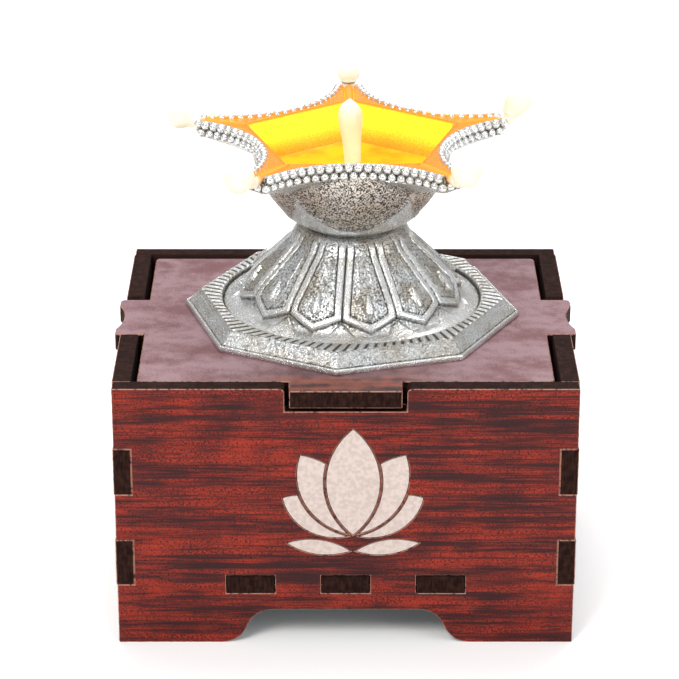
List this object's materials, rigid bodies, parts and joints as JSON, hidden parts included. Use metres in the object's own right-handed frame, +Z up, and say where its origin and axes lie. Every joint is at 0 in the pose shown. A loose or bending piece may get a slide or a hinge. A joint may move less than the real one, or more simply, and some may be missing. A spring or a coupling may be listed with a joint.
{
  "type": "star oil lamp on box",
  "caption": "Cast-metal star oil lamp with beaded rim and lotus foot, standing on a finger-jointed board box with a drop-in lid and a flower inlay.",
  "frame": {"origin": "centre of the box's footprint, on the surface it stands on", "axes": "+X across the front to the right, +Y from front to back, +Z up"},
  "size_m": [0.103, 0.0864, 0.111],
  "materials": {
    "laminate_board": "printed mahogany-red laminate on dark board, satin",
    "inlay": "cream inlay, matt",
    "cast_metal": "bright cast metal, stippled ground with polished ridges",
    "steel": "zinc-plated steel",
    "ghee": "warm translucent fuel, glossy",
    "cotton": "white cotton, glowing where it burns"
  },
  "bodies": {
    "box": {"front_panel": "laminate_board", "back_panel": "laminate_board", "left_panel": "laminate_board", "right_panel": "laminate_board", "floor_panel": "laminate_board", "front_inlay": "inlay"},
    "lid": {"lid_panel": "laminate_board"},
    "lamp": {"lamp_foot": "cast_metal", "star_bowl": "cast_metal", "bowl_screw": "steel", "screw_washer": "steel", "ghee_fill": "ghee"},
    "right_rear_wick": {"wick_right_rear": "cotton"},
    "rear_wick": {"wick_rear": "cotton"},
    "left_rear_wick": {"wick_left_rear": "cotton"},
    "left_front_wick": {"wick_left_front": "cotton"},
    "right_front_wick": {"wick_right_front": "cotton"},
    "centre_wick": {"wick_centre": "cotton"}
  },
  "joints": [
    {"name": "lid_lift", "type": "slide", "parent": "box", "child": "lid", "axis": [0, 0, 1], "range_m": [0, 0.03]},
    {"name": "lamp_lift", "type": "slide", "parent": "lid", "child": "lamp", "axis": [0, 0, 1], "range_m": [0, 0.03]},
    {"name": "right_rear_wick_slide", "type": "slide", "parent": "lamp", "child": "right_rear_wick", "axis": [0.9455, 0.3256, 0], "range_m": [0, 0.014]},
    {"name": "rear_wick_slide", "type": "slide", "parent": "lamp", "child": "rear_wick", "axis": [-0.0175, 0.9998, 0], "range_m": [0, 0.014]},
    {"name": "left_rear_wick_slide", "type": "slide", "parent": "lamp", "child": "left_rear_wick", "axis": [-0.9563, 0.2924, 0], "range_m": [0, 0.014]},
    {"name": "left_front_wick_slide", "type": "slide", "parent": "lamp", "child": "left_front_wick", "axis": [-0.5736, -0.8192, 0], "range_m": [0, 0.014]},
    {"name": "right_front_wick_slide", "type": "slide", "parent": "lamp", "child": "right_front_wick", "axis": [0.6018, -0.7986, 0], "range_m": [0, 0.014]},
    {"name": "centre_wick_lift", "type": "slide", "parent": "lamp", "child": "centre_wick", "axis": [0, 0, 1], "range_m": [0, 0.022]}
  ]
}
